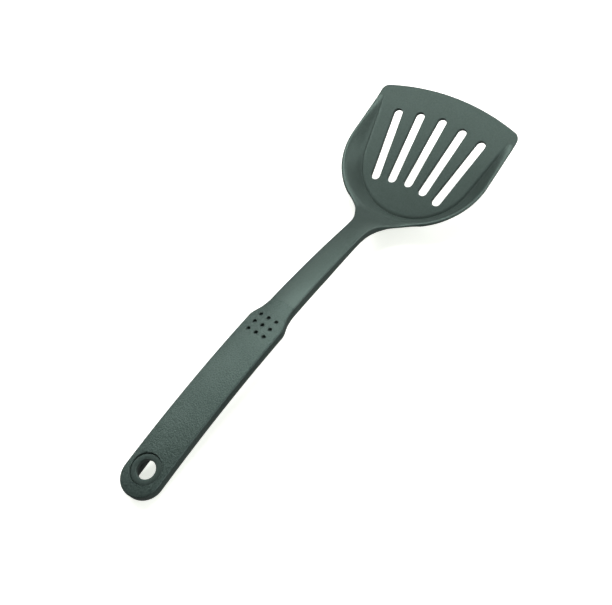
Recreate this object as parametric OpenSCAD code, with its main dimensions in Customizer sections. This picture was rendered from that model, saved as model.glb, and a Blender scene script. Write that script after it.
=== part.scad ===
// Slotted kitchen turner: a dished nylon blade with its shaft, a grained grip and an eyelet to hang it by.
// It lies as it does on a table, on the heel of the blade and the end of the grip, with the front edge raised.
// The blade is drawn flat first, with the middle of its round back at zero, and seated on the table last.

/* [Blade] */
// Outer radius of the round back of the blade
back_r = 51.6; // [46:0.2:56]
// From the middle of the round back forward to the front edge
blade_len = 49.5; // [44:0.5:56]
// Half the width of the blade at its front corners
front_half = 51.9; // [47:0.1:54]
// Radius of the bowed front edge
front_r = 155; // [140:0.1:230]
// Radius of the two front corners
corner_r = 6; // [4.6:0.1:8]
// Radius of the flat floor where it meets the wall
floor_r = 39.4; // [37.6:0.1:41.4]
// Thickness of the floor
floor_t = 3; // [2.4:0.1:4]
// Thickness of the blade at its front edge
edge_t = 1.4; // [1:0.1:2]

/* [Raised rim] */
// Width of the top of the rim
rim_w = 3; // [2:0.1:3.2]
// Angle between the top of the rim and the floor
rim_tilt = 12.3; // [10:0.1:14]
// From the front edge back to where the rim starts to rise
rim_start = 17; // [14:0.5:20]
// How far the floor stops behind the front edge and the front corners
bevel_run = 3.6; // [3.2:0.1:4.4]

/* [Slots] */
// Width of a slot
slot_w = 6.3; // [5:0.1:8]
// Distance between the centres of a slot's round ends
slot_len = 46.4; // [34:0.1:50]
// From the front edge to the centre of the middle slot's front end
slot_front_gap = 19.7; // [15:0.1:24]
// Angle between neighbouring slots
slot_angle = 5; // [4.6:0.1:5.4]
// From the point where the slots would meet to the middle slot's front end
slot_fan_r = 185; // [170:1:200]
// How far each slot sits behind its inner neighbour
slot_set_back = 1; // [0:0.1:2]

/* [Neck and shaft] */
// Slope of the neck where it leaves the rim
neck_angle = 58.8; // [54:0.2:62]
// Length of the straight start of the neck
neck_rise = 7.2; // [5:0.1:10]
// Radius of the bend of the neck
neck_bend_r = 67.2; // [56:0.2:80]
// Slope of the shaft where the bend of the neck ends
shaft_angle = 35.6; // [33:0.2:39]
// Radius of the long bend of the shaft and grip
body_bend_r = 592; // [500:1:720]
// Length of the shaft from the bend of the neck to the seam of the grip
shaft_len = 69; // [55:0.5:90]
// Half the width of the shaft behind the neck
neck_half = 6.9; // [6.2:0.1:7.6]
// Half the width of the shaft at the seam
shaft_half = 7.9; // [7.2:0.1:9]
// How much wider each side of the neck is at the rim
neck_spread = 9.8; // [8.8:0.1:10.6]
// Height of the side of the shaft behind the neck
neck_depth = 6.5; // [5.6:0.1:7.2]
// Height of the side of the shaft at the seam
shaft_depth = 8.3; // [7.8:0.1:8.8]
// Crown of the top of the shaft
shaft_crown = 0.6; // [0.3:0.1:0.9]
// Radius under the shaft
shaft_under_r = 2.2; // [1.4:0.1:2.6]

/* [Grip] */
// Length of the grip from the seam to the centre of its round end
grip_len = 123; // [100:1:140]
// Half the width of the grip
grip_half = 11.5; // [10.8:0.1:13]
// Height of the side of the grip
grip_depth = 9.6; // [9.2:0.1:10.4]
// Crown of the top of the grip
grip_crown = 0.8; // [0.5:0.1:1]
// Radius under the grip
grip_under_r = 4.2; // [3:0.1:4.8]
// Radius of the edge between the top and the side
top_edge_r = 0.9; // [0.6:0.1:1.2]
// From the seam to the start of the shoulder
shoulder_gap = 2; // [0.5:0.5:5]
// Length of the shoulder where the grip widens
shoulder_len = 15; // [12:0.5:20]
// Thickness of the skin over the channel
skin_t = 3.2; // [3:0.1:3.6]
// Half the width of the channel under the grip
channel_half = 5.5; // [5.4:0.05:5.8]

/* [Tang and snap lugs] */
// Length of the tang that the grip holds
tang_len = 52; // [40:0.5:60]
// Clearance between the tang and each side of the channel
tang_gap = 0.1; // [0.05:0.05:0.2]
// From the underside of the grip up to the underside of the tang
tang_rise = 1.1; // [0.8:0.1:1.6]
// How far a snap lug stands out of the tang
lug_out = 0.9; // [0.6:0.1:1.2]
// Length of a snap lug
lug_len = 7; // [5:0.5:10]
// Height of a snap lug
lug_high = 2.4; // [1.6:0.1:3]
// From the end of the tang back to the lug
lug_gap = 4; // [2:0.5:8]

/* [Dimples] */
// Radius of a dimple
dimple_r = 1.1; // [0.8:0.1:1.4]
// Depth of a dimple
dimple_depth = 1.8; // [1.2:0.1:2]
// Distance between dimples along the grip
dimple_pitch = 5.8; // [5:0.1:7]
// Distance between dimples across the grip
dimple_row_pitch = 5.4; // [4.6:0.1:6]
// From the seam to the middle row of dimples
dimple_from_seam = 19.5; // [17:0.5:30]

/* [Hanging eyelet] */
// From the centre of the grip's round end forward to the centre of the eyelet
eyelet_forward = 4; // [1:0.5:10]
// Radius of the hole of the eyelet
eyelet_bore_r = 5.2; // [4.6:0.05:5.3]
// Radius of the barrel of the eyelet
eyelet_barrel_r = 6.8; // [6.5:0.1:7.2]
// Radius of the flange of the eyelet
eyelet_flange_r = 8.5; // [8.2:0.1:9.2]
// Thickness of the flange
eyelet_flange_t = 1; // [0.8:0.1:1.2]
// How far the flange lies below the edge of the grip's top
eyelet_sink = 0.4; // [0.2:0.05:0.6]
// Chamfer at the mouth of the hole
eyelet_chamfer = 0.5; // [0.3:0.1:0.6]
// Clearance around the eyelet
eyelet_gap = 0.1; // [0.05:0.05:0.15]

/* [Hidden] */

// Steps in each stretch of the blade's outline, from the back to the front
back_steps = 14;
side_steps = 8;
corner_steps = 5;
front_steps = 8;
// Steps along the neck, the shaft, the tang, the grip behind its shoulder and its round end
neck_steps = 14;
shaft_steps = 7;
tang_steps = 4;
grip_steps = 10;
tail_steps = 7;
// Steps in the quarter rounds of a cross-section
crown_steps = 4;
edge_steps = 3;
under_steps = 5;
// Facets of the exact round parts
round_fn = 96;
// Overrun of every cut, so that none ends flush
overrun = 1;

// Wall of the blade, from the floor up to the rim: share of its run, share of its rise
wall_share = [[0, 0], [0.12, 0.05], [0.28, 0.2], [0.55, 0.52], [0.82, 0.87], [0.94, 0.98], [1, 1]];
// Top of the rim, outward: share of its width, share of the front edge's thickness that it lies above the rim
rim_share = [[0.35, 0.08], [0.8, -0.05], [1, -0.4]];
// Outside of the wall, down to the heel: shares of the wall's run and rise, of the rim's width and of the thickness
under_share = [[1, 1, 1, 0], [0.55, 0.52, 0.82, 0.09], [0.1, 0.03, 0.82, 0.25], [0.02, 0, 0.54, 0.6],
    [0, 0, -0.09, 1]];
// Neck, from the rim to the shaft: share of its length, share of its spread that is left
neck_share = [[0, 1.05], [0.12, 0.95], [0.23, 0.74], [0.35, 0.48], [0.46, 0.25], [0.58, 0.1], [0.7, 0.03], [1, 0]];
// Shoulder of the grip, from its start: share of its length, share of the widening
shoulder_share = [[0, 0], [0.17, 0.08], [0.31, 0.18], [0.44, 0.29], [0.57, 0.48], [0.71, 0.7], [0.84, 0.89],
    [0.92, 0.97], [1, 1]];
// How fast the side of the neck deepens as its spread is used up
side_power = 2;
// Belly of the neck at the rim: shares of its half width and of the neck's height
belly_share = 0.95;
belly_depth_share = 0.55;
// Largest share of a side's height that the radius of its top edge takes
edge_share = 0.7;
// Root of the neck inside the wall: shares of its length, of the neck's half width, of its sink and of its height
root_share = [[1, 0.3, 1, 0.35], [0.5, 0.62, 0.57, 0.48], [0.15, 0.92, 0.25, 0.55]];
// How far down the wall the root of the neck starts, and how deep it lies there
root_len = 12;
root_sink = 2.1;

// Outline of the blade
corner_y = front_half - corner_r;
front_x = blade_len - front_r;
corner_x = front_x + sqrt(pow(front_r - corner_r, 2) - pow(corner_y, 2));
front_angle = asin(corner_y / (front_r - corner_r));
floor_end_y = front_half - bevel_run;
floor_turn = atan2(floor_end_y, corner_x) + acos(floor_r / norm([corner_x, floor_end_y]));

function arc_pts(x, y, r, from, to, steps, first = 0) =
    [for (i = [first : steps]) let (a = from + (to - from) * i / steps) [x + r * cos(a), y + r * sin(a)]];
function line_pts(p, q, steps) = [for (i = [1 : steps]) p + (q - p) * i / steps];
function half_outline(r, turn, inset) = concat(
    arc_pts(0, 0, r, 180, turn, back_steps),
    line_pts([r * cos(turn), r * sin(turn)], [corner_x, front_half - inset], side_steps),
    arc_pts(corner_x, corner_y, corner_r - inset, 90, front_angle, corner_steps, 1),
    arc_pts(front_x, 0, front_r - inset, front_angle, 0, front_steps, 1));
// The other half is the same list mirrored, without the two points on the middle line
function closed(half) = concat(half, [for (i = [len(half) - 2 : -1 : 1]) [half[i].x, -half[i].y]]);

outer_half = half_outline(back_r, 90, 0);
outer_pts = closed(outer_half);
foot_pts = closed(half_outline(floor_r, floor_turn, bevel_run));
stations = len(outer_pts);
front_station = len(outer_half) - 1;

function rim_z(x) = max(0, tan(rim_tilt) * (blade_len - rim_start - x));
function wall_run(i) = norm(outer_pts[i] - foot_pts[i]) - rim_w;
// Point of the blade's skin at station i: run outward from the foot of the wall, at height z
function skin_pt(i, run, z) =
    let (f = foot_pts[i], way = (outer_pts[i] - f) / norm(outer_pts[i] - f))
    [f.x + way.x * run, f.y + way.y * run, z];
function wall_ring(u) = [for (i = [0 : stations - 1])
    skin_pt(i, u[0] * wall_run(i), u[1] * rim_z(outer_pts[i].x))];
function rim_ring(u) = [for (i = [0 : stations - 1])
    skin_pt(i, wall_run(i) + u[0] * rim_w, rim_z(outer_pts[i].x) + u[1] * edge_t)];
function under_pt(i, u) =
    skin_pt(i, u[0] * wall_run(i) + u[2] * rim_w, u[1] * rim_z(outer_pts[i].x) - lerp(edge_t, floor_t, u[3]));
function under_ring(u) = [for (i = [0 : stations - 1]) under_pt(i, u)];
function lerp(a, b, u) = a + (b - a) * u;

// Line along the top of the neck, shaft and grip, measured back from the rim: [x, z, slope]
neck_arc_len = neck_bend_r * (neck_angle - shaft_angle) * PI / 180;
shaft_from = neck_rise + neck_arc_len;
seam = shaft_from + shaft_len;
tail = seam + grip_len;
neck_x = rim_w - back_r;
function climb(p, s) = [p.x - s * cos(p[2]), p[1] + s * sin(p[2]), p[2]];
function bend(p, r, s) =
    let (a = p[2] - s / r * 180 / PI)
    [p.x - r * (sin(p[2]) - sin(a)), p[1] + r * (cos(a) - cos(p[2])), a];
neck_from = [neck_x, rim_z(neck_x), neck_angle];
bend_from = climb(neck_from, neck_rise);
body_from = bend(bend_from, neck_bend_r, neck_arc_len);
function spine(s) =
    s < neck_rise ? climb(neck_from, s) :
    s < shaft_from ? bend(bend_from, neck_bend_r, s - neck_rise) :
    bend(body_from, body_bend_r, s - shaft_from);

// Right half of a cross-section, from the top of the crown round to the belly: [across, up]
function half_section(w, crown, depth, belly_w, belly_h) =
    let (r = min(top_edge_r, (depth - belly_h) * edge_share))
    concat(
        [for (i = [0 : crown_steps]) [(w - r) * i / crown_steps, crown * (1 - pow(i / crown_steps, 2))]],
        [for (i = [1 : edge_steps]) let (a = 90 - 90 * i / edge_steps) [w - r + r * cos(a), r * (sin(a) - 1)]],
        [for (i = [0 : under_steps]) let (a = -90 * i / under_steps)
            [w - belly_w + belly_w * cos(a), belly_h - depth + belly_h * sin(a)]]);
// A whole cross-section set square on the line at s, turned about its own middle by turn at a round end
function ring(half, s, sink = 0, turn = 0) =
    let (p = spine(s), all = concat([for (q = half) [q.x, q.y, 1]],
        [for (i = [len(half) - 1 : -1 : 1]) [half[i].x, half[i].y, -1]]))
    [for (q = all) let (up = q.y - sink, back = q.x * sin(turn))
        [p.x + up * sin(p[2]) - back * cos(p[2]), q.z * q.x * cos(turn), p[1] + up * cos(p[2]) + back * sin(p[2])]];
function turns() = [for (i = [1 : tail_steps]) 180 * i / (2 * tail_steps + 1)];
last_turn = 180 * tail_steps / (2 * tail_steps + 1);

function neck_half_section(left) =
    let (w = neck_half + neck_spread * left, depth = neck_depth * lerp(1, belly_depth_share, left),
        side = lerp(edge_t / 2, neck_depth - shaft_under_r, pow(max(0, 1 - left), side_power)))
    half_section(w, shaft_crown, depth, lerp(shaft_under_r, w * belly_share, left), depth - side);
function shaft_half_section(t) =
    half_section(lerp(neck_half, shaft_half, t), shaft_crown, lerp(neck_depth, shaft_depth, min(1, 2 * t)),
        shaft_under_r, shaft_under_r);
function grip_half_section(s) =
    let (u = lookup((s - shoulder_from) / shoulder_len, shoulder_share),
        under_r = lerp(shaft_under_r, grip_under_r, u))
    half_section(lerp(shaft_half, grip_half, u), lerp(shaft_crown, grip_crown, u),
        lerp(shaft_depth, grip_depth, u), under_r, under_r);
function root_ring(u) =
    let (w = (neck_half + neck_spread) * u[1], depth = neck_depth * u[3])
    ring(half_section(w, shaft_crown, depth, w * belly_share, depth - edge_t / 2), -root_len * u[0],
        root_sink * u[2]);

shoulder_from = seam + shoulder_gap;
shoulder_to = shoulder_from + shoulder_len;
tang_half = channel_half - tang_gap;
tang_top = -skin_t - tang_gap - shaft_crown;
tang_bottom = tang_rise - shaft_depth;
tang_half_section = half_section(tang_half, shaft_crown, tang_top - tang_bottom, top_edge_r, top_edge_r);
neck_rings = concat(
    [for (u = root_share) root_ring(u)],
    [for (i = [0 : neck_steps]) let (t = i / neck_steps)
        ring(neck_half_section(lookup(t, neck_share)), t * shaft_from)],
    [for (i = [1 : shaft_steps]) let (t = i / shaft_steps) ring(shaft_half_section(t), shaft_from + t * shaft_len)],
    [for (i = [0 : tang_steps]) ring(tang_half_section, seam + tang_len * i / tang_steps, -tang_top)]);
grip_stops = concat([seam],
    [for (u = shoulder_share) shoulder_from + shoulder_len * u[0]],
    [for (i = [1 : grip_steps]) lerp(shoulder_to, tail, i / grip_steps)]);
grip_rings = concat(
    [for (s = grip_stops) ring(grip_half_section(s), s)],
    [for (a = turns()) ring(grip_half_section(tail), tail, 0, a)]);
channel_box = [[0, -skin_t], [channel_half, -skin_t], [channel_half, -grip_depth - overrun]];
channel_rings = concat(
    [for (s = concat([seam - overrun], grip_stops)) ring(channel_box, s)],
    [for (a = turns()) ring(channel_box, tail, 0, a)]);

// Seat on the table: the line under the heel and the end of the grip is brought level
heel_pts = [for (u = under_share) under_pt(0, u)];
tail_pts = ring(grip_half_section(tail), tail, 0, last_turn);
pitch = max([for (h = heel_pts) min([for (t = tail_pts) atan2(t.z - h.z, h.x - t.x)])]);
function along(p) = p.x * cos(pitch) - p.z * sin(pitch);
function above(p) = p.x * sin(pitch) + p.z * cos(pitch);
table_z = min([for (h = heel_pts) above(h)]);
middle_x = (along(under_pt(front_station, under_share[0])) + min([for (t = tail_pts) along(t)])) / 2;
module seated() {
    translate([-middle_x, 0, -table_z]) rotate([0, -pitch, 0]) children();
}

// Local frame on the line at s: x forward to the blade, z square off the top
module on_spine(s) {
    p = spine(s);
    translate([p.x, 0, p[1]]) rotate([0, p[2], 0]) children();
}

// Solid between rings of points that are mirrored about y = 0, each end closed from side to side
module skin(rings) {
    n = len(rings[0]);
    m = len(rings);
    last = (m - 1) * n;
    polyhedron(
        points = [for (r = rings) each r],
        faces = concat(
            [for (j = [0 : m - 2]) for (i = [0 : n - 1]) let (k = (i + 1) % n, a = j * n, b = a + n)
                each [[a + i, b + i, b + k], [a + i, b + k, a + k]]],
            [for (i = [1 : (n - 3) / 2]) each [[i, i + 1, n - i - 1], [i, n - i - 1, n - i]]],
            [[0, 1, n - 1]],
            [for (i = [1 : (n - 3) / 2]) each
                [[last + i, last + n - i - 1, last + i + 1], [last + i, last + n - i, last + n - i - 1]]],
            [[last, last + n - 1, last + 1]]),
        convexity = 8);
}

module slots() {
    slot_x = blade_len - slot_front_gap - slot_fan_r;
    for (i = [-2 : 2]) {
        front = slot_fan_r - slot_set_back * abs(i);
        translate([slot_x, 0, -floor_t - overrun]) rotate([0, 0, slot_angle * i]) {
            for (x = [front - slot_len, front])
                translate([x, 0, 0]) cylinder(h = floor_t + 2 * overrun, r = slot_w / 2, $fn = round_fn);
            translate([front - slot_len, -slot_w / 2, 0]) cube([slot_len, slot_w, floor_t + 2 * overrun]);
        }
    }
}

module blade_body() {
    rings = concat([for (u = wall_share) wall_ring(u)], [for (u = rim_share) rim_ring(u)],
        [for (u = under_share) under_ring(u)]);
    n = stations;
    m = len(rings);
    polyhedron(
        points = concat([for (r = rings) each r], [[0, 0, 0], [0, 0, -floor_t]]),
        faces = concat(
            [for (i = [0 : n - 1]) [m * n, i, (i + 1) % n]],
            [for (j = [0 : m - 2]) for (i = [0 : n - 1]) let (k = (i + 1) % n, a = j * n, b = a + n)
                each [[a + i, b + i, b + k], [a + i, b + k, a + k]]],
            [for (i = [0 : n - 1]) let (a = (m - 1) * n) [m * n + 1, a + (i + 1) % n, a + i]]),
        convexity = 8);
}

// Wedge on each side of the tang, thin at the end that goes in first; gap opens it up for the pocket in the grip
module snap_lugs(gap = 0) {
    middle = (tang_top + tang_bottom) / 2;
    on_spine(seam + tang_len - lug_gap)
        translate([0, 0, middle - lug_high / 2 - gap])
            linear_extrude(lug_high + 2 * gap)
                for (side = [-1, 1])
                    polygon([[-gap, side * (tang_half - overrun)], [lug_len + gap, side * (tang_half - overrun)],
                        [lug_len + gap, side * (tang_half + lug_out + gap)]]);
}

// Blade, rim, neck, shaft and tang in one stiff moulding
module blade_and_shaft() {
    color([0.31, 0.37, 0.35]) seated() {
        difference() {
            blade_body();
            slots();
        }
        skin(neck_rings);
        snap_lugs();
    }
}

// Blind holes that the thumb finds at the front of the grip
module dimples() {
    for (row = [-1 : 1])
        on_spine(seam + dimple_from_seam + row * dimple_pitch)
            for (side = [-1 : 1])
                translate([0, side * dimple_row_pitch, grip_crown - dimple_depth])
                    cylinder(h = dimple_depth + overrun, r = dimple_r, $fn = round_fn);
}

flange_top = -eyelet_sink;
flange_bottom = flange_top - eyelet_flange_t;

// Stepped hole for the eyelet, down to the channel
module eyelet_seat() {
    on_spine(tail - eyelet_forward) {
        translate([0, 0, flange_bottom])
            cylinder(h = eyelet_flange_t + grip_crown + overrun, r = eyelet_flange_r + eyelet_gap, $fn = round_fn);
        translate([0, 0, -skin_t - eyelet_gap])
            cylinder(h = skin_t + overrun, r = eyelet_barrel_r + eyelet_gap, $fn = round_fn);
    }
}

// Grained handle moulding, open underneath, pushed over the tang
module grip() {
    color([0.34, 0.41, 0.39]) seated() difference() {
        skin(grip_rings);
        skin(channel_rings);
        eyelet_seat();
        dimples();
        snap_lugs(tang_gap);
    }
}

// Flanged ring pressed into the end of the grip, with the hole that the turner hangs by
module hanging_eyelet() {
    color([0.26, 0.32, 0.31]) seated() on_spine(tail - eyelet_forward)
        rotate_extrude($fn = round_fn)
            polygon([[eyelet_bore_r, -skin_t], [eyelet_barrel_r, -skin_t], [eyelet_barrel_r, flange_bottom],
                [eyelet_flange_r, flange_bottom], [eyelet_flange_r, flange_top],
                [eyelet_bore_r + eyelet_chamfer, flange_top], [eyelet_bore_r, flange_top - eyelet_chamfer]]);
}

blade_and_shaft();
grip();
hanging_eyelet();
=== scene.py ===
import math

import bmesh
import bpy
from mathutils import Matrix, Vector


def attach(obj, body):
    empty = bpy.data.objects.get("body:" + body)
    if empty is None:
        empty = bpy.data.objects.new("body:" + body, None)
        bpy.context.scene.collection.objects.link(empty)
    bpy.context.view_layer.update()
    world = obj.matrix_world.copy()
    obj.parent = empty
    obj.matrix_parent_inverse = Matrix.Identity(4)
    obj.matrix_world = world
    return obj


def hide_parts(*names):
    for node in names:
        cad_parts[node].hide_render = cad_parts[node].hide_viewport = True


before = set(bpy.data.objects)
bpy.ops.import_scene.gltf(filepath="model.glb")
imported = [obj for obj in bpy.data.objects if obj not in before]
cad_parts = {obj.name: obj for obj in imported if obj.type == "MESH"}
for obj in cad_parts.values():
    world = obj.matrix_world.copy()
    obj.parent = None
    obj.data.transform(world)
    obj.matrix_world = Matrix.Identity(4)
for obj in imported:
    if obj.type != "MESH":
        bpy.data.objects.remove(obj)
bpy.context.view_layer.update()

# Blade and shaft.
# One moulding of stiff nylon: the dished blade with its rim and five slots, the neck, the shaft and
# the tang that the grip hides. Moulded in one shot, it has every corner a little rounded, and a
# slightly mottled skin.

# Lengths are in millimetres until a piece is seated on the table. Zero lies on the floor of the
# blade, at the centre of its round back.
back_r = 51.6            # outer radius of the round back
blade_len = 49.5         # from the centre of the round back to the front edge
front_half = 51.9        # half the width at the front corners
front_r = 155.0          # radius of the bowed front edge
corner_r = 6.0           # radius of the front corners
floor_r = 40.6           # radius of the floor where it meets the wall
sole_r = 39.4            # radius of the flat underneath, where the outside of the wall starts
floor_t = 3.0            # thickness of the floor
edge_t = 1.4             # thickness at the front edge
floor_inset = 3.6        # how far the floor stops behind the front edge and corners
rim_w = 3.0              # width of the top of the rim
rim_tilt = math.radians(12.3)    # slope at which the rim rises towards the back
rim_start = 17.0         # from the front edge back to where the rim starts to rise
rim_full = 6.0           # height of the rim from which its top is fully round
rim_droop = 0.7          # how far the inside of the rim's top is rounded off at the sides
droop_from = 15.0        # distance from the middle line at which that starts
droop_run = 9.0          # and over which it grows
valley_w = 2.2           # width of the border over which the floor falls to the foot of the wall
valley_drop = 0.36       # how far it falls
valley_rim = 1.6         # height of the rim from which it falls that far
valley_out = 0.3         # share of the wall's run over which the wall comes back up from it
outline_steps = (33, 12, 12, 16)     # round back, side, corner and front edge, in each half

corner_y = front_half - corner_r
front_x = blade_len - front_r
corner_x = front_x + math.sqrt((front_r - corner_r) ** 2 - corner_y ** 2)
front_angle = math.asin(corner_y / (front_r - corner_r))
floor_end_y = front_half - floor_inset


def side_turn(radius):
    """Angle from the front at which a round back of that radius runs into the floor's side."""
    to_corner = math.hypot(corner_x, floor_end_y)
    return math.atan2(floor_end_y, corner_x) + math.acos(radius / to_corner)


def of_kind(geometry, kind):
    """The vertices, edges or faces among what an operator has made."""
    return [part for part in geometry if isinstance(part, kind)]


def walked(start, count):
    """The first count vertices of a wire, in order, from one end of it."""
    chain, last = [start], None
    while len(chain) < count:
        onward = [e.other_vert(chain[-1]) for e in chain[-1].link_edges
                  if e.other_vert(chain[-1]) is not last]
        last = chain[-1]
        chain.append(onward[0])
    return chain


def outline(radius, turn, inset):
    """Points round the blade from the middle of its back, inset from its front and corners."""
    edge = bmesh.new()
    first = edge.verts.new((-radius, 0, 0))

    def swung(vert, centre, angle, steps):
        out = bmesh.ops.spin(edge, geom=[vert], cent=centre, axis=(0, 0, -1), angle=angle,
                             steps=steps)
        return of_kind(out["geom_last"], bmesh.types.BMVert)[0]

    back, side, corner, front = outline_steps
    tip = swung(first, (0, 0, 0), math.pi - turn, back)
    stretch = (Vector((corner_x, front_half - inset, 0)) - tip.co) / side
    for _ in range(side):
        tip = bmesh.ops.extrude_vert_indiv(edge, verts=[tip])["verts"][0]
        tip.co += stretch
    tip = swung(tip, (corner_x, corner_y, 0), math.pi / 2 - front_angle, corner)
    swung(tip, (front_x, 0, 0), front_angle, front)
    half = [v.co.copy() for v in walked(first, sum(outline_steps) + 1)]
    edge.free()
    return half + [Vector((p.x, -p.y, 0)) for p in half[-2:0:-1]]


outer = outline(back_r, math.pi / 2, 0)
foot = outline(floor_r, side_turn(floor_r), floor_inset)
sole = outline(sole_r, side_turn(sole_r), floor_inset)
stations = range(len(outer))
across = [(o - f).normalized() for o, f in zip(outer, foot)]
wall_run = [(o - f).length - rim_w for o, f in zip(outer, foot)]
sole_run = [(o - f).length - rim_w for o, f in zip(outer, sole)]


def rim_height(x):
    """Height of the top of the rim over the floor, where the outline stands at x."""
    return max(0.0, math.tan(rim_tilt) * (blade_len - rim_start - x))


def swell(x):
    """How round the top of the rim is there: 0 in front, 1 once the rim is up."""
    return min(1.0, rim_height(x) / rim_full)


def droop(point):
    """How far the inside of the rim's top is rounded off, at a point of the outline."""
    grown = min(1.0, max(0.0, (abs(point.y) - droop_from) / droop_run))
    return rim_droop * swell(point.x) * grown


def valley(x):
    """How far the foot of the wall lies under the floor, where the outline stands at x."""
    return valley_drop * min(1.0, rim_height(x) / valley_rim)


rim_z = [rim_height(p.x) for p in outer]
droop_z = [droop(p) for p in outer]
valley_z = [valley(p.x) for p in outer]


def lerp(a, b, u):
    return a + (b - a) * u


def up(height):
    return Vector((0, 0, height))


def faired(knots, steps):
    """A smooth line through the knots, tuples of numbers, with that many steps between each two."""
    def at(j):
        return knots[min(max(j, 0), len(knots) - 1)]

    def between(a, b, c, d, u):
        return 0.5 * (2 * b + (c - a) * u + (2 * a - 5 * b + 4 * c - d) * u ** 2
                      + (3 * b - a - 3 * c + d) * u ** 3)

    line = []
    for j in range(len(knots) - 1):
        around = list(zip(at(j - 1), at(j), at(j + 1), at(j + 2)))
        line += [tuple(between(*four, step / steps) for four in around) for step in range(steps)]
    return line + [tuple(knots[-1])]


def pairs(ring, closed=True):
    """Neighbours along a ring, or along an open line."""
    return list(zip(ring, ring[1:] + ring[:1] if closed else ring[1:]))


def wire(mesh, points, closed=True):
    """A wire through the points, as its vertices in order."""
    ring = [mesh.verts.new(p) for p in points]
    for pair in pairs(ring, closed):
        mesh.edges.new(pair)
    return ring


def edges_of(mesh, ring, closed=True):
    """The edges between neighbours along a ring."""
    return [mesh.edges.get(pair) for pair in pairs(ring, closed)]


def drawn(mesh, ring, places, closed=True):
    """The new ring that one extrusion of the ring gives, moved to its places."""
    out = bmesh.ops.extrude_edge_only(mesh, edges=edges_of(mesh, ring, closed))["geom"]
    fresh = set(of_kind(out, bmesh.types.BMVert))
    new_ring = [next(e.other_vert(v) for e in v.link_edges if e.other_vert(v) in fresh)
                for v in ring]
    for vert, place in zip(new_ring, places):
        vert.co = place
    return new_ring


# The blade is drawn from the floor outwards, over the rim and back underneath, ring by ring.
# Border of the floor: shares of its width and of its fall
valley_knots = ((0, 0), (0.25, 0.05), (0.5, 0.2), (0.75, 0.5), (1, 1))
# Wall: shares of its run and of its rise
wall_knots = ((0, 0), (0.06, 0.03), (0.15, 0.14), (0.3, 0.32), (0.55, 0.585), (0.8, 0.84),
              (0.93, 0.965), (1, 1))
# Rim: shares of its width, of the front edge's thickness, and of the rounding off of its inside
rim_knots = ((0, 0, 1), (0.1, 0.03, 0.6), (0.24, 0.06, 0.28), (0.42, 0.08, 0.08), (0.6, 0.06, 0),
             (0.76, 0, 0), (0.89, -0.18, 0), (0.99, -0.45, 0), (1, -0.75, 0), (0.97, -1, 0))
# Outside: shares of its run and rise, of the rim's width, and of the way from edge_t to floor_t
under_knots = ((1, 1, 0.97, 0), (0.78, 0.76, 0.86, 0.04), (0.55, 0.52, 0.8, 0.09),
               (0.3, 0.25, 0.8, 0.16), (0.1, 0.05, 0.78, 0.27), (0.04, 0, 0.5, 0.585),
               (0.01, 0, 0.15, 0.865), (0, 0, -0.1, 1))
wall_steps = 2           # rings between each two knots of the wall, inside and outside
moulding = bmesh.new()
rings = [wire(moulding, [foot[i] - across[i] * valley_w for i in stations])]
for run, fall in valley_knots[1:]:
    rings.append(drawn(moulding, rings[-1], [
        foot[i] - across[i] * (1 - run) * valley_w - up(fall * valley_z[i]) for i in stations]))
for run, rise in faired(wall_knots, wall_steps)[1:]:
    still_down = max(0.0, 1 - run / valley_out)
    rings.append(drawn(moulding, rings[-1], [
        foot[i] + across[i] * run * wall_run[i]
        + up(rise * (rim_z[i] - droop_z[i]) - still_down * valley_z[i]) for i in stations]))
lip = len(rings) - 1
for run, rise, round_off in rim_knots[1:]:
    rings.append(drawn(moulding, rings[-1], [
        foot[i] + across[i] * (wall_run[i] + run * rim_w)
        + up(rim_z[i] - round_off * droop_z[i]
             + rise * edge_t * (swell(outer[i].x) if rise > 0 else 1)) for i in stations]))
for run, rise, out, thick in faired(under_knots, wall_steps)[1:]:
    rings.append(drawn(moulding, rings[-1], [
        sole[i] + across[i] * (run * sole_run[i] + out * rim_w)
        + up(rise * rim_z[i] - lerp(edge_t, floor_t, thick)) for i in stations]))

# Slots: round-ended, in a fan, with softened edges at the top and bottom
slots_each_side = 2      # beside the middle one
slot_w = 6.3
slot_len = 46.4          # between the centres of the round ends
slot_front_gap = 19.7    # from the front edge to the centre of the middle slot's front end
slot_angle = math.radians(5)     # between neighbours
slot_fan_r = 185.0       # from the point where the slots would meet to the middle one's front end
slot_set_back = 1.0      # how far each slot sits behind its inner neighbour
slot_edge_r = 0.35
slot_edge_steps = 4
slot_facets = 40

edge_turns = [math.pi / 2 * j / slot_edge_steps for j in range(slot_edge_steps + 1)]
slot_rings = [(slot_edge_r * (1 - math.sin(a)), slot_edge_r * (math.cos(a) - 1))
              for a in edge_turns]
slot_rings += [(out, -floor_t - z) for out, z in reversed(slot_rings)]
slot_turns = [2 * math.pi * (j + 0.5) / slot_facets for j in range(slot_facets)]
slot_circle = [Vector((math.cos(a), math.sin(a), 0)) for a in slot_turns]
fan_centre = Matrix.Translation((blade_len - slot_front_gap - slot_fan_r, 0, 0))


def slot_outline(number, out, z):
    """Outline of a slot, counted from the middle one, at height z and so far out from its sides."""
    front = slot_fan_r - slot_set_back * abs(number)
    lay = fan_centre @ Matrix.Rotation(slot_angle * number, 4, "Z")
    return [lay @ (p * (slot_w / 2 + out) + Vector((front - (slot_len if p.x < 0 else 0), 0, z)))
            for p in slot_circle]


slot_tops, slot_bottoms = [], []
for number in range(-slots_each_side, slots_each_side + 1):
    ring = wire(moulding, slot_outline(number, *slot_rings[0]))
    slot_tops += edges_of(moulding, ring)
    for out, z in slot_rings[1:]:
        ring = drawn(moulding, ring, slot_outline(number, out, z))
    slot_bottoms += edges_of(moulding, ring)
for border, holes in ((rings[0], slot_tops), (rings[-1], slot_bottoms)):
    bmesh.ops.triangle_fill(moulding, use_beauty=True, edges=edges_of(moulding, border) + holes)

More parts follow.
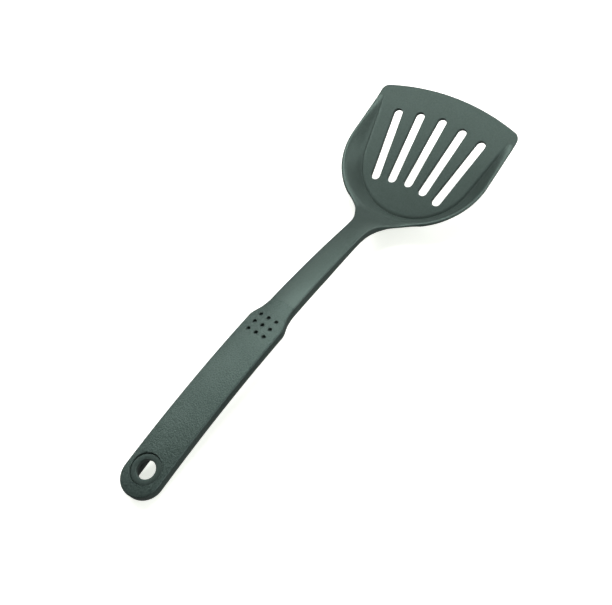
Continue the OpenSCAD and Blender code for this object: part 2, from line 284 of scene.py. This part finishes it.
# Neck, shaft and tang: drawn out of the back of the rim, section by section
neck_angle = math.radians(58.8)      # slope of the neck's straight start
neck_rise = 7.2          # length of that start
neck_bend_r = 67.2
shaft_angle = math.radians(35.6)     # slope of the shaft where the neck's bend ends
body_bend_r = 592.0      # long bend of the shaft and the grip
shaft_len = 69.0
neck_half, shaft_half = 6.9, 7.9
neck_spread = 9.8        # how much wider each side of the neck is at the rim
neck_depth, shaft_depth = 6.5, 8.3
shaft_deep_by = 0.5      # share of the shaft's length by which it has its full depth
shaft_crown = 0.6        # how far the middle of the top stands over its sides
crown_by = 1 / 3         # share of the neck's length by which its top is that round
shaft_under_r = 2.2
top_edge_r = 0.9
# Shares of the neck's length and of its spread
neck_knots = ((0, 1.173), (0.06, 1.04), (0.12, 0.905), (0.23, 0.68), (0.35, 0.46), (0.46, 0.27),
              (0.58, 0.13), (0.7, 0.05), (0.85, 0.01), (1, 0))
neck_steps = 3           # rings between each two knots
shaft_steps = 18
root_half = 9            # stations that the root of the neck takes on each side of the middle
root_drop = 4            # rings of the outside wall that it takes
side_steps = len(rim_knots) - 1 + root_drop
belly_share = 0.95       # at the rim: share of the half width that the round underneath takes
belly_depth_share = 0.55     # and share of the neck's depth that is left there
edge_share = 0.7         # most that the rounded top edge takes of the side under it
quarter_steps = 12
same_place = 1e-6        # steps shorter than this have no direction of their own
neck_arc = neck_bend_r * (neck_angle - shaft_angle)
shaft_from = neck_rise + neck_arc
seam = shaft_from + shaft_len


def spine(s):
    """Point and slope, as x, z, slope, of the line along the top, s back from the rim."""
    x, slope = rim_w - back_r, neck_angle
    z = rim_height(x)
    step = min(s, neck_rise)
    x, z, s = x - step * math.cos(slope), z + step * math.sin(slope), s - step
    for radius, length in ((neck_bend_r, neck_arc), (body_bend_r, math.inf)):
        step = min(s, length)
        end = slope - step / radius
        x -= radius * (math.sin(slope) - math.sin(end))
        z += radius * (math.cos(end) - math.cos(slope))
        slope, s = end, s - step
    return x, z, slope


def on_spine(s):
    """Frame on that line: x forward to the blade, z square off the top."""
    x, z, slope = spine(s)
    return Matrix.Translation((x, 0, z)) @ Matrix.Rotation(slope, 4, "Y")


def quarter(centre, width, height, start, steps):
    """A quarter turn of an ellipse, clockwise from the start angle, as (across, up)."""
    return [(centre[0] + width * math.cos(a), centre[1] + height * math.sin(a))
            for a in (start - math.pi / 2 * j / steps for j in range(steps + 1))]


def spread(line, count):
    """count + 1 points along a line, closer together where it bends."""
    cost, heading = [0.0], None
    total = sum(math.dist(p, q) for p, q in pairs(line, closed=False))
    for p, q in pairs(line, closed=False):
        step = math.dist(p, q)
        now = math.atan2(q[1] - p[1], q[0] - p[0]) if step > same_place else heading
        turned = 0
        if heading is not None:
            turned = abs((now - heading + math.pi) % (2 * math.pi) - math.pi)
        cost.append(cost[-1] + step / total + turned / math.pi)
        heading = now
    points, j = [line[0]], 0
    for k in range(1, count):
        want = cost[-1] * k / count
        while cost[j + 1] < want:
            j += 1
        share = (want - cost[j]) / (cost[j + 1] - cost[j])
        points.append(tuple(lerp(a, b, share) for a, b in zip(line[j], line[j + 1])))
    return points + [line[-1]]


def section(w, crown, depth, belly_w, belly_h, sink=0.0):
    """Closed section, sunk under the spine: from side to side over the crown, then underneath."""
    r = min(top_edge_r, (depth - belly_h) * edge_share)
    edge = quarter((w - r, -r), r, r, math.pi / 2, quarter_steps)
    belly = quarter((w - belly_w, belly_h - depth), belly_w, belly_h, 0, quarter_steps)
    low = spread(edge + belly + [(0, -depth)], side_steps + root_half)
    whole = [((w - r) * j / root_half, crown * (1 - (j / root_half) ** 2))
             for j in range(-root_half, root_half + 1)]
    whole += low[1:] + [(-x, z) for x, z in low[-2:0:-1]]
    return [Vector((0, x, z - sink)) for x, z in whole]


# The root of the neck takes the place of a stretch of the rim and of the wall under it
low_ring = lip + side_steps
span = range(-root_half, root_half + 1)
lip_ring = [v.co.copy() for v in rings[lip]]
inside = [rings[j][i] for j in range(lip + 1, low_ring) for i in span[1:-1]]
bmesh.ops.delete(moulding, geom=inside, context="VERTS")
ring = [rings[lip][i] for i in span]
ring += [rings[j][root_half] for j in range(lip + 1, low_ring + 1)]
ring += [rings[low_ring][i] for i in reversed(span[:-1])]
ring += [rings[j][-root_half] for j in range(low_ring - 1, lip, -1)]
root_line = [v.co.copy() for v in ring]
neck_rings = []
for t, left in faired(neck_knots, neck_steps)[1:]:
    w, depth = neck_half + neck_spread * left, neck_depth * lerp(1, belly_depth_share, left)
    side = lerp(edge_t / 2, neck_depth - shaft_under_r, max(0, 1 - left) ** 2)
    crown = shaft_crown * min(1, t / crown_by)
    belly_w = lerp(shaft_under_r, w * belly_share, min(1, left))
    places = section(w, crown, depth, belly_w, depth - side)
    ring = drawn(moulding, ring, [on_spine(t * shaft_from) @ p for p in places])
    neck_rings.append(ring)
for j in range(1, shaft_steps + 1):
    t = j / shaft_steps
    depth = lerp(neck_depth, shaft_depth, min(1, t / shaft_deep_by))
    places = section(lerp(neck_half, shaft_half, t), shaft_crown, depth, shaft_under_r,
                     shaft_under_r)
    ring = drawn(moulding, ring, [on_spine(shaft_from + t * shaft_len) @ p for p in places])

# The shaft ends in a softened corner at the seam, and the tang goes on from there inside the grip
seam_round = 0.06
skin_t = 3.2             # thickness of the grip's top over the channel
channel_half = 5.5
tang_len = 52.0
tang_gap = 0.1           # clearance of the tang in the channel
tang_rise = 1.1          # how far its underside lies over the shaft's
tang_end = 0.6           # softened end of the tang
tang_stops = (0, 0.3, 0.6, 0.9)  # shares of its length
tang_half = channel_half - tang_gap
tang_top = -skin_t - tang_gap - shaft_crown
tang_t = tang_top - (tang_rise - shaft_depth)
for vert in ring:
    vert.co = on_spine(seam - seam_round) @ (on_spine(seam).inverted() @ vert.co)
places = section(shaft_half - seam_round, shaft_crown, shaft_depth - 2 * seam_round,
                 shaft_under_r, shaft_under_r, seam_round)
ring = drawn(moulding, ring, [on_spine(seam) @ p for p in places])
tang = section(tang_half, shaft_crown, tang_t, top_edge_r, top_edge_r, -tang_top)
for s in [share * tang_len for share in tang_stops] + [tang_len - tang_end]:
    ring = drawn(moulding, ring, [on_spine(seam + s) @ p for p in tang])
narrow = section(tang_half - tang_end, shaft_crown, tang_t - 2 * tang_end, top_edge_r, top_edge_r,
                 tang_end - tang_top)
ring = drawn(moulding, ring, [on_spine(seam + tang_len) @ p for p in narrow])
bmesh.ops.edgeloop_fill(moulding, edges=edges_of(moulding, ring))

# The neck runs into the rim in a fillet, which is widest in the two bays beside it, and the lip of
# the rim fades out across the middle of the neck. Only what lies behind and above a corner moves.
fillet_corner = (-30, 4)         # x, z
bay_stations = range(6, 11)      # of the rim, on each side of the middle
bay_rings = (0, 3, 6, 9)         # of the neck, whose sides are smoothed with a bay
fade_half = 6                    # stations of the lip that fade out on each side of the middle
lip_line = [lip_ring[i] for i in range(-fade_half, fade_half + 1)]
bays = [lip_ring[side * i] for i in bay_stations for side in (-1, 1)]
bays += [neck_rings[j][i].co.copy() for j in bay_rings for i in (0, 2 * root_half)]
soften = 0.5             # share of each round, of which the next share gives some back
# Points, how far round them the skin is smoothed, in how many rounds, and the share given back
for points, reach, rounds, give_back in (
        (root_line, 5.0, 6, -0.42), (root_line, 3.5, 4, -0.42), (bays, 5.0, 30, -0.35),
        (lip_line, 4.5, 14, -0.1)):
    near = [v for v in moulding.verts if v.co.x < fillet_corner[0] and v.co.z > fillet_corner[1]
            and min((v.co - p).length for p in points) < reach]
    for share in (soften, give_back) * rounds:
        bmesh.ops.smooth_vert(moulding, verts=near, factor=share, use_axis_x=True,
                              use_axis_y=True, use_axis_z=True)

# Snap lugs on the sides of the tang, thin at the end that goes in first
lug_out, lug_len, lug_high = 0.9, 7.0, 2.4
lug_from_end = 4.0       # from the end of the tang to a lug's thin end
overrun = 1.0            # how far a lug reaches into the tang, so that they join
lug_middle = tang_top - tang_t / 2


def lug(side, gap):
    """Wedge on one side of the tang; gap opens it up for the pocket in the grip."""
    wedge = bmesh.new()
    low = lug_middle - lug_high / 2 - gap
    root_y, out_y = side * (tang_half - overrun), side * (tang_half + lug_out + gap)
    base = [wedge.verts.new(p) for p in (
        (-gap, root_y, low), (lug_len + gap, root_y, low), (lug_len + gap, out_y, low))]
    raised = bmesh.ops.extrude_face_region(wedge, geom=[wedge.faces.new(base)])["geom"]
    bmesh.ops.translate(wedge, verts=of_kind(raised, bmesh.types.BMVert),
                        vec=(0, 0, lug_high + 2 * gap))
    bmesh.ops.recalc_face_normals(wedge, faces=wedge.faces)
    bmesh.ops.transform(wedge, matrix=on_spine(seam + tang_len - lug_from_end), verts=wedge.verts)
    return wedge


def as_object(name, mesh):
    """A mesh as an object of the scene."""
    data = bpy.data.meshes.new(name)
    mesh.to_mesh(data)
    mesh.free()
    made = bpy.data.objects.new(name, data)
    bpy.context.scene.collection.objects.link(made)
    return made


def combine(piece, tool_mesh, operation):
    """Join a tool to the piece, or cut it away, for good; the tool goes."""
    tool = as_object("tool", tool_mesh)
    change = piece.modifiers.new("change", "BOOLEAN")
    change.object, change.operation, change.solver = tool, operation, "EXACT"
    evaluated = piece.evaluated_get(bpy.context.evaluated_depsgraph_get())
    shape = bpy.data.meshes.new_from_object(evaluated)
    piece.modifiers.clear()
    old, piece.data = piece.data, shape
    bpy.data.meshes.remove(old)
    bpy.data.objects.remove(tool)


# Seat on the table, where the heel of the blade and the end of the grip touch it, and metres
pitch = math.radians(30.4055)
middle_x = -120.63       # middle of the whole length, along the table
table_z = -22.8894       # height of the table under the tilted turner
millimetre = 0.001
seat = (Matrix.Scale(millimetre, 4) @ Matrix.Translation((-middle_x, 0, -table_z))
        @ Matrix.Rotation(-pitch, 4, "Y"))
sharp_from = math.radians(38)
weld = 1e-4              # vertices closer than this are one


def seat_and_smooth(piece, flat_heights=()):
    """Seat a piece, with faces outward, smooth but for flats at those heights and sharp edges."""
    mesh = bmesh.new()
    mesh.from_mesh(piece.data)
    bmesh.ops.remove_doubles(mesh, verts=mesh.verts, dist=weld)
    bmesh.ops.recalc_face_normals(mesh, faces=mesh.faces)
    for face in mesh.faces:
        face.smooth = not any(all(abs(v.co.z - z) < weld for v in face.verts)
                              for z in flat_heights)
    for edge in mesh.edges:
        edge.smooth = edge.calc_face_angle(0) < sharp_from
    bmesh.ops.transform(mesh, matrix=seat, verts=mesh.verts)
    mesh.to_mesh(piece.data)
    mesh.free()


bmesh.ops.recalc_face_normals(moulding, faces=moulding.faces)
blade = as_object("blade_and_shaft_moulding", moulding)
for side in (-1, 1):
    combine(blade, lug(side, 0), "UNION")
seat_and_smooth(blade, (0, -floor_t))

# Moulded nylon: fine speckle, whose size in metres each piece sets, on clouds about 20 mm across
speckle_detail, speckle_roughness = 3.0, 0.6
cloud_scale, cloud_detail = 45.0, 2.0
range_sockets = ("From Min", "From Max", "To Min", "To Max")
speckle_range = (0.35, 0.65, -0.5, 0.5)
cloud_range = (0.3, 0.7, 0.32, 0.68)
roughness_swing = 0.12   # how much the roughness changes with the speckle
sheen_tint = (0.72, 1, 0.89, 1)


def nylon_skin():
    """Group: tone, roughness and height of moulded nylon, all on object coordinates."""
    group = bpy.data.node_groups.new("nylon_skin", "ShaderNodeTree")
    for name, kind, side in (
            ("Tone", "NodeSocketColor", "INPUT"), ("Speckle tone", "NodeSocketColor", "INPUT"),
            ("Speckle size", "NodeSocketFloat", "INPUT"), ("Speckle", "NodeSocketFloat", "INPUT"),
            ("Roughness", "NodeSocketFloat", "INPUT"), ("Colour", "NodeSocketColor", "OUTPUT"),
            ("Roughness", "NodeSocketFloat", "OUTPUT"), ("Height", "NodeSocketFloat", "OUTPUT")):
        group.interface.new_socket(name=name, in_out=side, socket_type=kind)
    nodes, links = group.nodes, group.links

    def maths(operation):
        node = nodes.new("ShaderNodeMath")
        node.operation = operation
        return node

    def noise(detail):
        node = nodes.new("ShaderNodeTexNoise")
        node.inputs["Detail"].default_value = detail
        links.new(place.outputs["Object"], node.inputs["Vector"])
        return node

    def ranged(source, values):
        node = nodes.new("ShaderNodeMapRange")
        for socket, value in zip(range_sockets, values):
            node.inputs[socket].default_value = value
        links.new(source.outputs["Fac"], node.inputs["Value"])
        return node.outputs["Result"]

    given, result = nodes.new("NodeGroupInput"), nodes.new("NodeGroupOutput")
    place = nodes.new("ShaderNodeTexCoord")
    per_metre = maths("DIVIDE")
    per_metre.inputs[0].default_value = 1.0
    links.new(given.outputs["Speckle size"], per_metre.inputs[1])
    speckle = noise(speckle_detail)
    speckle.inputs["Roughness"].default_value = speckle_roughness
    links.new(per_metre.outputs[0], speckle.inputs["Scale"])
    cloud = noise(cloud_detail)
    cloud.inputs["Scale"].default_value = cloud_scale
    spots, clouds = ranged(speckle, speckle_range), ranged(cloud, cloud_range)
    mixed = maths("MULTIPLY_ADD")
    links.new(spots, mixed.inputs[0])
    links.new(given.outputs["Speckle"], mixed.inputs[1])
    links.new(clouds, mixed.inputs[2])
    tone = nodes.new("ShaderNodeMix")
    tone.data_type = "RGBA"
    links.new(mixed.outputs[0], tone.inputs["Factor"])
    links.new(given.outputs["Tone"], tone.inputs["A"])
    links.new(given.outputs["Speckle tone"], tone.inputs["B"])
    rough = maths("MULTIPLY_ADD")
    rough.inputs[1].default_value = roughness_swing
    links.new(spots, rough.inputs[0])
    links.new(given.outputs["Roughness"], rough.inputs[2])
    links.new(tone.outputs["Result"], result.inputs["Colour"])
    links.new(rough.outputs[0], result.inputs["Roughness"])
    links.new(speckle.outputs["Fac"], result.inputs["Height"])
    return group


skin_group = nylon_skin()


def nylon(name, relief, skin_values):
    """Material: the skin with its values into one shader, its height a bump of relief metres."""
    material = bpy.data.materials.new(name)
    material.use_nodes = True
    nodes, links = material.node_tree.nodes, material.node_tree.links
    shader = nodes["Principled BSDF"]
    shader.inputs["Specular Tint"].default_value = sheen_tint
    skin = nodes.new("ShaderNodeGroup")
    skin.node_tree = skin_group
    for socket, value in skin_values.items():
        skin.inputs[socket].default_value = value
    bump = nodes.new("ShaderNodeBump")
    bump.inputs["Distance"].default_value = relief
    links.new(skin.outputs["Colour"], shader.inputs["Base Color"])
    links.new(skin.outputs["Roughness"], shader.inputs["Roughness"])
    links.new(skin.outputs["Height"], bump.inputs["Height"])
    links.new(bump.outputs["Normal"], shader.inputs["Normal"])
    return material


blade.data.materials.append(nylon("blade_nylon", relief=0.00006, skin_values={
    "Tone": (0.029, 0.041, 0.036, 1), "Speckle tone": (0.045, 0.0615, 0.055, 1),
    "Speckle size": 0.0011, "Speckle": 0.55, "Roughness": 0.40}))
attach(blade, "root")
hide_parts("blade_and_shaft")

# Grip.
# A handle moulding in grained nylon, pushed over the tang until its lugs snap in. It is open
# underneath, and has nine blind holes where the thumb goes and a round end with a stepped hole
# for the eyelet.
grip_len = 123.0         # from the seam to the centre of the round end
grip_half, grip_depth = 11.5, 9.6
grip_crown = 0.8         # how far the middle of the top stands over its sides
grip_under_r = 4.2
shoulder_gap, shoulder_len = 2.0, 15.0   # from the seam to the shoulder, and along it
# Shoulder: shares of its length and of the widening
shoulder_knots = ((0, 0), (0.17, 0.08), (0.31, 0.18), (0.44, 0.29), (0.57, 0.48), (0.71, 0.7),
                  (0.84, 0.89), (0.92, 0.97), (1, 1))
shoulder_steps = 3       # rings between each two knots
grip_steps, tail_steps = 34, 20
tail_fit = 0.992         # keeps the round end inside the space of the solid
channel_lip_r = 0.4      # round of the channel's mouth
lip_room = 0.8           # most that it takes of the flat beside the channel
crown_steps, top_edge_steps, under_steps, channel_lip_steps = 8, 5, 8, 3
fold_weld = 1e-3         # halves that meet in the middle line are joined within this
tail = seam + grip_len


def grip_section(u, inset=0.0):
    """Right half of the U, from the middle of the top round to the middle of the channel's roof.

    It widens as u goes from 0 at the seam to 1, and inset draws its outside in.
    """
    w, depth = lerp(shaft_half, grip_half, u), lerp(shaft_depth, grip_depth, u)
    crown, under_r = lerp(shaft_crown, grip_crown, u), lerp(shaft_under_r, grip_under_r, u)
    r, lip_r = top_edge_r, min(channel_lip_r, lip_room * (w - under_r - channel_half))
    line = [((w - r) * j / crown_steps, crown * (1 - (j / crown_steps) ** 2))
            for j in range(crown_steps)]
    line += quarter((w - r, -r), r, r, math.pi / 2, top_edge_steps)
    line += quarter((w - under_r, under_r - depth), under_r, under_r, 0, under_steps)
    line += quarter((channel_half + lip_r, lip_r - depth), lip_r, lip_r, -math.pi / 2,
                    channel_lip_steps)
    line += [(channel_half, (lip_r - depth - skin_t) / 2), (channel_half, -skin_t),
             (channel_half / 2, -skin_t), (0, -skin_t)]
    if inset:
        line = [(x * (1 - inset / w) if x > channel_half else x,
                 lerp(z, -depth / 2, 2 * inset / depth)
                 if z > -skin_t or z < under_r - depth else z) for x, z in line]
    return [Vector((0, x, z)) for x, z in line]


handle = bmesh.new()
ring = wire(handle, [on_spine(seam) @ p for p in grip_section(0, seam_round)], closed=False)
shoulder_from = seam + shoulder_gap
stops = [(seam + seam_round, 0)]
stops += [(shoulder_from + shoulder_len * t, u) for t, u in faired(shoulder_knots, shoulder_steps)]
stops += [(lerp(shoulder_from + shoulder_len, tail, j / grip_steps), 1)
          for j in range(1, grip_steps + 1)]
for s, wide in stops:
    ring = drawn(handle, ring, [on_spine(s) @ p for p in grip_section(wide)], closed=False)
axis = on_spine(tail)
bmesh.ops.spin(handle, geom=edges_of(handle, ring, closed=False), cent=axis.translation,
               axis=axis.to_3x3() @ up(1), angle=math.pi / 2, steps=tail_steps)
for vert in handle.verts:
    local = axis.inverted() @ vert.co
    if local.x < -fold_weld:
        local.x *= tail_fit
        vert.co = axis @ local
bmesh.ops.mirror(handle, geom=handle.verts[:] + handle.edges[:] + handle.faces[:], axis="Y",
                 merge_dist=fold_weld)
bmesh.ops.remove_doubles(handle, verts=handle.verts, dist=fold_weld)
bmesh.ops.edgeloop_fill(handle, edges=[e for e in handle.edges if e.is_boundary])
bmesh.ops.recalc_face_normals(handle, faces=handle.faces)
grip = as_object("grip_moulding", handle)

# Stepped hole for the eyelet and the blind holes, with softened mouths that follow the crown
eyelet_forward = 4.0     # from the centre of the round end to the hole
eyelet_barrel_r, eyelet_flange_r, eyelet_flange_t = 6.8, 8.5, 1.0
eyelet_sink = 0.4        # how far the eyelet's top lies under the grip's
eyelet_gap = 0.1         # its clearance all round
flange_bottom = -eyelet_sink - eyelet_flange_t
seat_in, seat_down = 1.2, 2.0    # the channel is opened that far inside and below the barrel's bore
dimple_r, dimple_depth = 1.1, 1.8
dimple_pitch, dimple_row_pitch = 5.8, 5.4    # along the grip and across it
dimple_from_seam = 19.5  # to the middle row
dimple_round = 0.4       # round of a dimple's bottom edge
dimple_round_mid = 0.12  # how far that round's middle lies in from the wall and over the bottom
mouth_r = 0.3
mouth_turn = math.radians(78)    # a mouth's round stops short of level
mouth_steps = 4
mouth_lift = 10.0        # holds a mouth's points apart until they are laid on the crown
tool_over = 2.0          # how far a cutter stands over the grip
round_facets, dimple_facets = 64, 24


def hole(profile, radius, spot, facets):
    """Cutter at a spot, spun from a profile of (radius, height) and flared at the crown."""
    flare = [(radius + mouth_r * (1 - math.cos(a)), mouth_r * (math.sin(a) - 1))
             for a in (mouth_turn * j / mouth_steps for j in range(mouth_steps + 1))]
    mouth = flare + [(flare[-1][0], tool_over), (0, tool_over)]
    tool = bmesh.new()
    wire(tool, [(r, 0, z) for r, z in profile] + [(r, 0, z + mouth_lift) for r, z in mouth],
         closed=False)
    bmesh.ops.spin(tool, geom=tool.edges[:], cent=(0, 0, 0), axis=(0, 0, 1), angle=2 * math.pi,
                   steps=facets, use_merge=True)
    bmesh.ops.remove_doubles(tool, verts=tool.verts, dist=weld)
    bmesh.ops.recalc_face_normals(tool, faces=tool.faces)
    for vert in tool.verts:
        if vert.co.z > mouth_lift / 2:
            out = (vert.co.y + spot.y) / (grip_half - top_edge_r)
            vert.co.z += grip_crown * (1 - out ** 2) - mouth_lift
    bmesh.ops.transform(tool, matrix=on_spine(spot.x) @ Matrix.Translation((0, spot.y, 0)),
                        verts=tool.verts)
    return tool


bore_r, step_r = eyelet_barrel_r + eyelet_gap, eyelet_flange_r + eyelet_gap
stepped = [(0, -skin_t - seat_down), (bore_r - seat_in, -skin_t - seat_down),
           (bore_r - seat_in, -skin_t - eyelet_gap), (bore_r, -skin_t - eyelet_gap),
           (bore_r, flange_bottom), (step_r, flange_bottom)]
combine(grip, hole(stepped, step_r, Vector((tail - eyelet_forward, 0, 0)), round_facets),
        "DIFFERENCE")
dimple_bottom = grip_crown - dimple_depth
blind = [(0, dimple_bottom), (dimple_r - dimple_round, dimple_bottom),
         (dimple_r - dimple_round_mid, dimple_bottom + dimple_round_mid),
         (dimple_r, dimple_bottom + dimple_round)]
for row in (-1, 0, 1):
    for side in (-1, 0, 1):
        spot = Vector((seam + dimple_from_seam + row * dimple_pitch, side * dimple_row_pitch, 0))
        combine(grip, hole(blind, dimple_r, spot, dimple_facets), "DIFFERENCE")
for side in (-1, 1):
    combine(grip, lug(side, tang_gap), "DIFFERENCE")
seat_and_smooth(grip)
grip.data.materials.append(nylon("grip_nylon", relief=0.00026, skin_values={
    "Tone": (0.016, 0.026, 0.023, 1), "Speckle tone": (0.04, 0.056, 0.050, 1),
    "Speckle size": 0.0009, "Speckle": 0.75, "Roughness": 0.36}))
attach(grip, "root")
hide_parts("grip")

# Hanging eyelet.
# A flanged ring of smooth nylon, pressed into the end of the grip from above, flange down on its
# step. Its bore is the hole that the turner hangs by.
eyelet_bore_r = 5.2
eyelet_round = 0.3
eyelet_round_steps = 4
turned = bmesh.new()
corners = [(eyelet_bore_r, -skin_t), (eyelet_barrel_r, -skin_t), (eyelet_barrel_r, flange_bottom),
           (eyelet_flange_r, flange_bottom), (eyelet_flange_r, -eyelet_sink),
           (eyelet_bore_r, -eyelet_sink)]
turned_line = wire(turned, [(r, 0, z) for r, z in corners])
bmesh.ops.bevel(turned, geom=turned_line, offset=eyelet_round, offset_type="OFFSET",
                affect="VERTICES", segments=eyelet_round_steps, profile=0.5, material=-1)
bmesh.ops.spin(turned, geom=turned.edges[:], cent=(0, 0, 0), axis=(0, 0, 1), angle=2 * math.pi,
               steps=round_facets, use_merge=True)
bmesh.ops.recalc_face_normals(turned, faces=turned.faces)
bmesh.ops.transform(turned, matrix=on_spine(tail - eyelet_forward), verts=turned.verts)
eyelet = as_object("eyelet_ring", turned)
seat_and_smooth(eyelet)
eyelet.data.materials.append(nylon("eyelet_nylon", relief=0.00004, skin_values={
    "Tone": (0.018, 0.027, 0.024, 1), "Speckle tone": (0.03, 0.042, 0.038, 1),
    "Speckle size": 0.0009, "Speckle": 0.4, "Roughness": 0.38}))
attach(eyelet, "root")
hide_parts("hanging_eyelet")

# Studio.
# A plain pale table top, lit a little from below as a light table is, under soft lights of two
# sizes and an even surround. The table keeps its light to itself, so the turner is lit from above
# alone. From here on, lengths are in metres.
table_half = 3.0
table_drop = 0.0002      # keeps the table clear of what stands on it
sheet = bmesh.new()
bmesh.ops.create_grid(sheet, x_segments=1, y_segments=1, size=table_half)
table_top = as_object("table_top", sheet)
table_top.location.z = -table_drop
paper = bpy.data.materials.new("table_paper")
paper.use_nodes = True
for socket, value in (("Base Color", (0.82, 0.82, 0.81, 1)), ("Roughness", 0.9),
                      ("Specular IOR Level", 0.1), ("Emission Color", (0.97, 1, 0.93, 1)),
                      ("Emission Strength", 0.7)):
    paper.node_tree.nodes["Principled BSDF"].inputs[socket].default_value = value
table_top.data.materials.append(paper)
table_top.visible_glossy = False
table_top.visible_diffuse = False

light_distance = 1.2
aim = Vector((0, 0, 0.02))
# Each light: height over the table and bearing from the blade's end in degrees, size, and watts
lights = (("near_side", 15, -90, 0.9, 9.3), ("near_blade", 15, -45, 0.9, 5.9),
          ("key", 66, -5, 0.36, 5.2), ("window", 66, 45, 0.36, 3.2), ("top", 74, 66, 0.36, 1.8),
          ("far_side", 48, 88, 0.36, 3.4), ("far_grip", 42, 105, 0.36, 1.2),
          ("far_blade", 42, 45, 0.36, 1.0), ("blade_end", 28, 0, 0.36, 1.6))
for name, height, bearing, size, power in lights:
    light = bpy.data.lights.new(name, "AREA")
    light.shape, light.size, light.energy = "SQUARE", size, power
    lamp = bpy.data.objects.new(name, light)
    tilt = (Matrix.Rotation(math.radians(bearing), 4, "Z")
            @ Matrix.Rotation(math.radians(90 - height), 4, "Y"))
    lamp.matrix_world = Matrix.Translation(aim) @ tilt @ Matrix.Translation(up(light_distance))
    bpy.context.scene.collection.objects.link(lamp)
surround_strength = 0.15
surround = bpy.data.worlds.new("surround")
surround.use_nodes = True
surround.node_tree.nodes["Background"].inputs["Color"].default_value = (1, 1, 1, 1)
surround.node_tree.nodes["Background"].inputs["Strength"].default_value = surround_strength
bpy.context.scene.world = surround

# Camera: lens, place and turn are fitted to the turner's outline in the photograph
camera_data = bpy.data.cameras.new("camera")
camera_data.sensor_width = 36.0
camera_data.lens = 44.9
camera_data.clip_start, camera_data.clip_end = 0.01, 20.0
camera = bpy.data.objects.new("camera", camera_data)
camera.location = (-0.237086, -0.182575, 0.365553)
camera.rotation_euler = (0.678944, 0.03845, -0.939501)
bpy.context.scene.collection.objects.link(camera)
bpy.context.scene.camera = camera
bpy.context.scene.view_settings.view_transform = "Standard"
